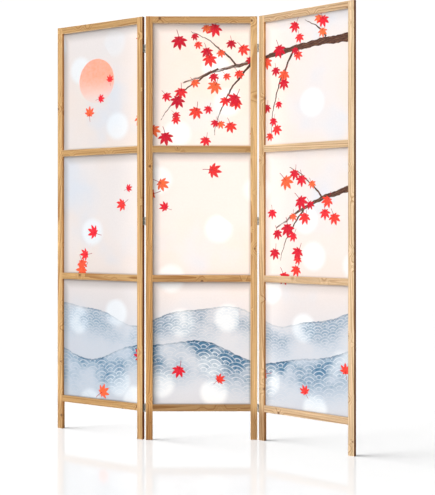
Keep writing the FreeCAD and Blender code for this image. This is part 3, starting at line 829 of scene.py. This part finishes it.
def makeGroundWash():
    # broad clouds of warm and cool over a pale ground, greyer towards the foot, with soft round glows
    t, given, made = newGroup("groundWash", {"Paint": (0, 0, 0)}, ["Color", "Grain"])
    paint = given["Paint"]
    s, z, _ = t.split(paint)
    colour = ground["pale"]
    for tone, begin, noise, shown, level in ground["clouds"]:
        cloud = t.ramp(t.noise(t.vector("ADD", paint, begin), *noise), *shown, 0.0, level)
        colour = t.blend(cloud, colour, ground[tone])
    foot = t.ramp(z, *ground["footReach"], 0.0, ground["footLevel"])
    colour = t.blend(foot, colour, ground["foot"])
    scattered = {"Vector": paint, "Scale": ground["glowTurns"]}
    spots = t.add("TexVoronoi", scattered, voronoi_dimensions="2D").outputs
    picked = t.ramp(t.split(spots["Color"])[0], *ground["glowPick"])
    glow = t.times(t.ramp(spots["Distance"], *ground["glowEdge"]), picked, ground["glowLevel"])
    colour = t.blend(glow, colour, ground["glow"])
    for start, end, depth in ground["dusks"]:
        colour = t.blend(t.ramp(s, start, end, 0.0, depth), colour, ground["dusk"], "MULTIPLY")
    t.feed(made, {"Color": colour, "Grain": t.noise(paint, *ground["grain"])})
    return t.tree


def makeFleece():
    # unwoven cloth: short fibres lying every way, as two crossed stretched noises, and softer clumps
    t, given, made = newGroup("fleece", {"Paint": (0, 0, 0)}, ["Shade", "Height"])
    fibres = t.largest(*(t.stretched(given["Paint"], *noise) for noise in cloth["fibres"]))
    clumps = t.noise(given["Paint"], *cloth["clumps"])
    shade = t.times(t.swing(fibres, cloth["fibreSwing"]), t.swing(clumps, cloth["clumpSwing"]))
    t.feed(made, {"Shade": shade, "Height": fibres})
    return t.tree


mapleLeaf, brushStroke, waterSwell = makeMapleLeaf(), makeBrushStroke(), makeWaterSwell()
groundWash, fleece = makeGroundWash(), makeFleece()

paleSun = {
    "place": (0.205, 1.470),
    "radius": 0.092,
    "colour": srgb(246, 150, 120),
    "ragged": 0.006,
    "edge": (0.0045, 0.0015),  # from the radius out, where it begins and is whole
    "grainSwing": 0.35,
    "mistShares": (-1.0, 0.3),  # of the radius, up from the middle, between which the mist thins out
    "mistLevels": (0.12, 0.85),
}


def paintSun(t, paint, grain, colour):  # a disc with a rough edge, lost in mist at its foot
    place, radius = paleSun["place"], paleSun["radius"]
    away = t.plus(t.times(grain, paleSun["ragged"]), t.vector("DISTANCE", paint, (*place, 0)))
    edge = t.ramp(away, *(radius + beyond for beyond in paleSun["edge"]))
    mistHeights = (place[1] + share * radius for share in paleSun["mistShares"])
    mist = t.ramp(t.split(paint)[1], *mistHeights, *paleSun["mistLevels"])
    disc = t.times(edge, t.swing(grain, paleSun["grainSwing"]), mist)
    return t.blend(disc, colour, paleSun["colour"])


def paintWater(t, paint, colour):
    for swell, strength in zip(water["swells"], water["strengths"]):
        painted = t.place(waterSwell, {"Paint": paint, **swell})
        body, line = (t.times(painted[key], strength) for key in ("Mask", "Ink"))
        colour = t.blend(body, colour, t.blend(body, water["pale"], water["deep"]))
        colour = t.blend(line, colour, water["ink"])
    return colour


def strokesOver(low, high):  # the strokes that may cross a window of the print
    margin = branches["margin"]
    for stroke in branches["strokes"]:
        line = strokeLine(stroke, np.linspace(0, 1, branches["probes"]))
        if ((line > np.array(low) - margin) & (line < np.array(high) + margin)).all(1).any():
            yield stroke


def paintBranches(t, paint, colour, low, high):
    for start, end, arch, width, tip, _ in strokesOver(low, high):
        along = Vector(end) - Vector(start)
        angle = math.atan2(along.y, along.x)
        home = -(Matrix.Rotation(-angle, 3, "Z") @ Vector((*start, 0)))
        turned = t.add("Mapping", {"Vector": paint, "Rotation": (0, 0, -angle), "Location": home})
        values = {"Length": along.length, "Arch": arch, "Width": width, "Tip": tip}
        brush = t.place(brushStroke, {"Vector": turned.outputs[0], **values})
        ink = t.blend(t.ramp(brush["Wet"], *branches["thinRange"]), branches["ink"], branches["inkThin"])
        colour = t.blend(brush["Mask"], colour, ink)
    return colour


def paintLeaves(t, places, grain, colour):
    for layer in leafLayerNames:
        leaf = t.place(mapleLeaf, {"Place": places[layer], "Grain": grain})
        shown = t.times(leaf["Mask"], t.swing(grain, leaves["grainSwing"]))
        colour = t.blend(shown, colour, leaf["Color"])
    return colour


printInputs = ("paint", *leafLayerNames)


def makePrint(name, low, high):
    t, given, made = newGroup(name, dict.fromkeys(printInputs, (0, 0, 0)), ["Color", "Grain"])
    paint = given["paint"]
    wash = t.place(groundWash, {"Paint": paint})
    grain = wash["Grain"]
    colour = paintSun(t, paint, grain, wash["Color"])
    colour = paintWater(t, paint, colour)
    colour = paintBranches(t, paint, colour, low, high)
    colour = paintLeaves(t, given, grain, colour)
    t.feed(made, {"Color": colour, "Grain": grain})
    return t.tree


def sheetMaterial(name, printed, show, rimLevel):
    material, t, shader = newMaterial(name)
    places = {label: t.add("Attribute", attribute_name=label).outputs["Vector"] for label in printInputs}
    design = t.place(printed, places)
    felt = t.place(fleece, {"Paint": places["paint"]})
    colour = design["Color"]
    if show < 1:
        colour = t.blend(show, cloth["backing"], colour)
    # painted shade near the frame, laid over the print as grey
    inwards = t.add("Attribute", attribute_name="rim").outputs["Fac"]
    rim = t.ramp(inwards, *cloth["frameShadeReach"], rimLevel, 1.0)
    colour = t.shaded(colour, t.times(felt["Shade"], rim))
    roughness = t.between(design["Grain"], *cloth["roughness"])
    finishSurface(t, shader, cloth, colour, roughness, felt["Height"])
    # painted light: the cloth glows in its own colour
    t.feed(shader, {"Emission Color": colour})
    return material


def sheetSurface(index, row, low, high):
    # a grid over the cut sheet; ripples are two crossed sines under a dome that is flat in the rebate
    size, tucked = high - low, cloth["tucked"]
    counts = [int(round(size[axis] / cloth["step"])) + 1 for axis in (0, 2)]
    across, up = np.meshgrid(*(np.linspace(0, 1, count) for count in counts))
    x, z = low[0] + across * size[0], low[2] + up * size[2]
    free = [np.clip((v - lo - tucked) / (hi - lo - 2 * tucked), 0, 1)
            for v, lo, hi in ((x, low[0], high[0]), (z, low[2], high[2]))]
    dome = np.sqrt(np.sin(np.pi * free[0]) * np.sin(np.pi * free[1]))
    phase = cloth["panelPhase"] * index + cloth["rowPhases"][rows.index(row)]
    ripple = sum(share * np.sin(turnAcross * across + turnUp * up + times * phase)
                 for share, turnAcross, turnUp, times in cloth["ripples"])
    y = (low[1] + high[1] - cloth["thickness"]) / 2 + cloth["slack"] * dome * ripple
    return x, y, z


def storeOnPoints(mesh, name, values):
    kind, key = ("FLOAT_VECTOR", "vector") if values.ndim == 2 else ("FLOAT", "value")
    mesh.attributes.new(name, kind, "POINT").data.foreach_set(key, values.astype(np.float32).ravel())


def makeSheet(index, panel, row):
    node = f"{panel}_{row}_sheet"
    place = panelFrames[panel]
    low, high = localBox(panel, node)
    x, y, z = sheetSurface(index, row, low, high)
    points = (np.stack([x, y, z], -1).reshape(-1, 3) + place["corner"]) @ place["axes"]
    grid = np.arange(x.size).reshape(x.shape)
    faces = np.stack([grid[:-1, :-1], grid[:-1, 1:], grid[1:, 1:], grid[1:, :-1]], -1).reshape(-1, 4)
    mesh = bpy.data.meshes.new(node + "_cloth")
    mesh.from_pydata(points, [], faces)
    mesh.polygons.foreach_set("use_smooth", np.ones(len(faces), bool))
    spots = np.stack([x + index * panelPitch, z + place["corner"][2]], -1).reshape(-1, 2)
    for name, layer in zip(leafLayerNames, leafLayers):
        storeOnPoints(mesh, name, leafPlaces(spots, layer))
    storeOnPoints(mesh, "paint", np.column_stack([spots, np.zeros(len(spots))]))
    # the way in from the nearest side of the opening, weighted by side, for the painted shade near the
    # frame
    ways = np.stack([x - low[0], high[2] - z, high[0] - x, z - low[2]], -1) - cloth["lap"]
    storeOnPoints(mesh, "rim", (ways * cloth["frameShadeWeights"]).min(-1).ravel())
    sheet = newObject(node + "_cloth", mesh)
    printed = makePrint(node + "_print", spots.min(0), spots.max(0))
    rimLevel = cloth["frameShadeLevels"][panel]
    for side, show in (("front", 1.0), ("back", cloth["backShow"])):
        mesh.materials.append(sheetMaterial(f"{node}_{side}", printed, show, rimLevel))
    solid = sheet.modifiers.new("thickness", "SOLIDIFY")
    solid.thickness = cloth["thickness"]
    solid.offset = -1
    solid.material_offset = 1
    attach(sheet, panel + "_panel")
    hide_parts(node)


for index, panel in enumerate(panels):
    for row in rows:
        makeSheet(index, panel, row)
print("sheets: nine printed cloths stretched")

# Camera: level, a little right of the centre panel's middle

view = {
    "lens": 71.85,
    "standOff": 3.988,  # in front of the centre panel's face
    "across": 0.2894,  # right of the centre panel's left edge
    "height": 0.854,
    "shiftY": -0.0388,
    "clipEnd": 200,
}
centreCorner = panelFrames["centre"]["corner"]
camera = newObject("camera", bpy.data.cameras.new("camera"))
camera.data.lens = view["lens"]
camera.data.shift_y = view["shiftY"]
camera.data.clip_end = view["clipEnd"]
camera.location = (centreCorner[0] + view["across"], centreCorner[1] - view["standOff"], view["height"])
camera.rotation_euler = (math.radians(90), 0, 0)
scene.camera = camera
print("camera placed")

# Studio: white floor, white surroundings that are dim on the right, one broad soft light from the left

studio = {
    "white": (1, 1, 1, 1),
    "floorSize": 60.0,
    "floorGrey": 0.25,
    "floorGlow": 0.06,
    "floorBounce": 0.75,  # share of its light that the floor sends on to the screen
    "floorEven": {"Roughness": 0.08, "IOR": 1.22},
    "front": 0.24,  # brightness of the room before the screen
    "backdrop": 0.95,  # and behind it
    "eyeWhite": 1.04,  # and as the eye sees it
    "backReach": (0.0, 0.4),  # how far back the front's level turns into the backdrop's
    "dimSide": (0.95, -0.30, 0.0),  # the way to the unlit side
    "dimReach": (-0.1, 0.6),  # how far that way it grows dim
    "dimLevel": 0.03,
    # two lights: degrees from straight ahead to the left, degrees up, and how wide each looks; the skim
    # falls on the floor alone, for the soft shadows beside the legs
    "key": {"turn": -31.0, "rise": 34.0, "spread": 44.0, "strength": 2.80},
    "skim": {"turn": -98.0, "rise": 24.0, "spread": 56.0, "strength": 27.0},
}


def makeFloor():
    half = studio["floorSize"] / 2
    corners = np.array([[-1, -1, 0], [1, -1, 0], [1, 1, 0], [-1, 1, 0]]) * half
    mesh = bpy.data.meshes.new("floor")
    mesh.from_pydata(corners.tolist(), [], [(0, 1, 2, 3)])
    floor = newObject("floor", mesh)
    material, t, shader = newMaterial("floor_white")
    # the glow lifts the floor to white for the eye alone, and little of its grey lights the screen
    path = t.add("LightPath").outputs
    grey = t.mix(path["Is Diffuse Ray"], studio["floorGrey"], studio["floorGrey"] * studio["floorBounce"])
    t.feed(shader, {
        "Base Color": t.join(grey, grey, grey),
        "Emission Color": studio["white"],
        "Emission Strength": t.times(path["Is Camera Ray"], studio["floorGlow"]),
        **studio["floorEven"],
    })
    mesh.materials.append(material)
    return floor


def makeWorld():
    world = bpy.data.worlds.new("studio")
    scene.world = world
    world.use_nodes = True
    t = ShaderTree(world.node_tree)
    background = next(n for n in world.node_tree.nodes if n.type == "BACKGROUND")
    direction = t.add("TexCoord").outputs["Generated"]
    level = t.ramp(t.split(direction)[1], *studio["backReach"], studio["front"], studio["backdrop"])
    sideways = t.vector("DOT_PRODUCT", direction, studio["dimSide"])
    level = t.times(level, t.ramp(sideways, *studio["dimReach"], 1.0, studio["dimLevel"]))
    # it is white to the eye, and as pale as the backdrop all round in reflections
    path = t.add("LightPath").outputs
    seen = t.times(path["Is Camera Ray"], studio["eyeWhite"])
    mirrored = t.times(path["Is Glossy Ray"], studio["backdrop"])
    t.feed(background.inputs, {"Color": studio["white"], "Strength": t.largest(level, seen, mirrored)})


def makeSun(name):
    values = studio[name]
    light = bpy.data.lights.new(name, "SUN")
    light.energy = values["strength"]
    light.angle = math.radians(values["spread"])
    sun = newObject(name, light)
    sun.rotation_euler = (math.radians(90 - values["rise"]), 0, math.radians(values["turn"]))
    return sun.light_linking


def lightGroup(name, group, state):
    collection = bpy.data.collections.new(name)
    for index, lit in enumerate(group):
        collection.objects.link(lit)
        collection.collection_objects[index].light_linking.link_state = state
    return collection


floor = makeFloor()
makeWorld()
makeSun("key").receiver_collection = lightGroup("allButFloor", [floor], "EXCLUDE")
skim = makeSun("skim")
skim.receiver_collection = lightGroup("floorAlone", [floor], "INCLUDE")
shadowers = [nodes[name + "_stile"] for name in ("left_left", "centre_left", "right_left", "right_right")]
skim.blocker_collection = lightGroup("someStiles", shadowers, "INCLUDE")
scene.view_settings.view_transform = "Standard"
print("studio lit")
